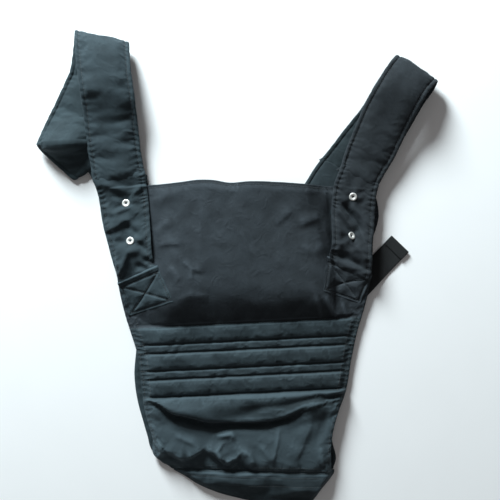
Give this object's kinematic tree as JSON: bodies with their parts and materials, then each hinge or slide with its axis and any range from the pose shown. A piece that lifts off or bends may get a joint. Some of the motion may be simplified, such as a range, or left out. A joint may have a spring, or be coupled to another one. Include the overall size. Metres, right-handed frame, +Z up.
{
  "type": "cloth front carrier",
  "caption": "Soft cloth carrier laid flat: upper panel, quilted band, gathered seat, padded shoulder loops held by press studs, waistband.",
  "frame": {"origin": "on the surface the carrier lies on, under the middle of its outline", "axes": "+Z up from that surface, +Y towards the shoulder loops, +X to the right seen from above"},
  "size_m": [0.6178, 0.7415, 0.0321],
  "materials": {
    "twill": "dark slate-grey cotton twill",
    "lining": "grey cotton lining",
    "wadding": "polyester wadding",
    "foam": "soft foam",
    "webbing": "woven polyester webbing",
    "nickel": "satin nickel plate"
  },
  "bodies": {
    "panel": {"bib_lining": "lining", "bib_wadding": "wadding", "bib_face": "twill", "bib_top_hem": "twill", "left_anchor_patch": "twill", "left_patch_rolled_edge": "twill", "left_strap_back_end": "twill", "left_tab_face": "twill", "left_tab_lining": "lining", "left_upper_eyelet": "nickel", "left_upper_stud": "nickel", "left_upper_socket": "nickel", "left_upper_cap": "nickel", "left_lower_eyelet": "nickel", "left_lower_stud": "nickel", "left_lower_socket": "nickel", "left_lower_cap": "nickel", "left_side_casing": "twill", "right_anchor_patch": "twill", "right_patch_rolled_edge": "twill", "right_strap_back_end": "twill", "right_tab_face": "twill", "right_tab_lining": "lining", "right_upper_eyelet": "nickel", "right_upper_stud": "nickel", "right_upper_socket": "nickel", "right_upper_cap": "nickel", "right_lower_eyelet": "nickel", "right_lower_stud": "nickel", "right_lower_socket": "nickel", "right_lower_cap": "nickel", "right_side_casing": "twill", "quilt_face": "twill", "upper_quilt_foam": "foam", "middle_quilt_foam": "foam", "lower_quilt_foam": "foam", "seat_lining": "lining", "seat_face": "twill", "seat_hem": "twill", "back_panel": "lining", "webbing_root": "webbing"},
    "left_strap_loop": {"left_strap_face": "twill", "left_strap_foam": "foam", "left_strap_lining": "lining"},
    "right_strap_loop": {"right_strap_face": "twill", "right_strap_foam": "foam", "right_strap_lining": "lining"},
    "waistband": {"waistband_lining": "lining", "waistband_foam": "foam", "waistband_face": "twill"},
    "webbing_tail": {"webbing_end": "webbing", "webbing_end_turn": "webbing"}
  },
  "joints": [
    {"name": "left_strap_fold", "type": "hinge", "parent": "panel", "child": "left_strap_loop", "pos_m": [-0.1798, 0.1455, 0.0223], "axis": [0.9915, 0.1301, 0], "range_deg": [0, 165]},
    {"name": "right_strap_fold", "type": "hinge", "parent": "panel", "child": "right_strap_loop", "pos_m": [0.1829, 0.1496, 0.0223], "axis": [0.878, -0.4787, 0], "range_deg": [0, 165]},
    {"name": "waistband_fold", "type": "hinge", "parent": "panel", "child": "waistband", "pos_m": [0.025, -0.3057, 0.007], "axis": [-0.9998, 0.02, 0], "range_deg": [0, 120]},
    {"name": "webbing_fold", "type": "hinge", "parent": "panel", "child": "webbing_tail", "pos_m": [0.2248, 0.0142, 0.002], "axis": [0.7219, -0.6919, 0], "range_deg": [0, 90]}
  ]
}
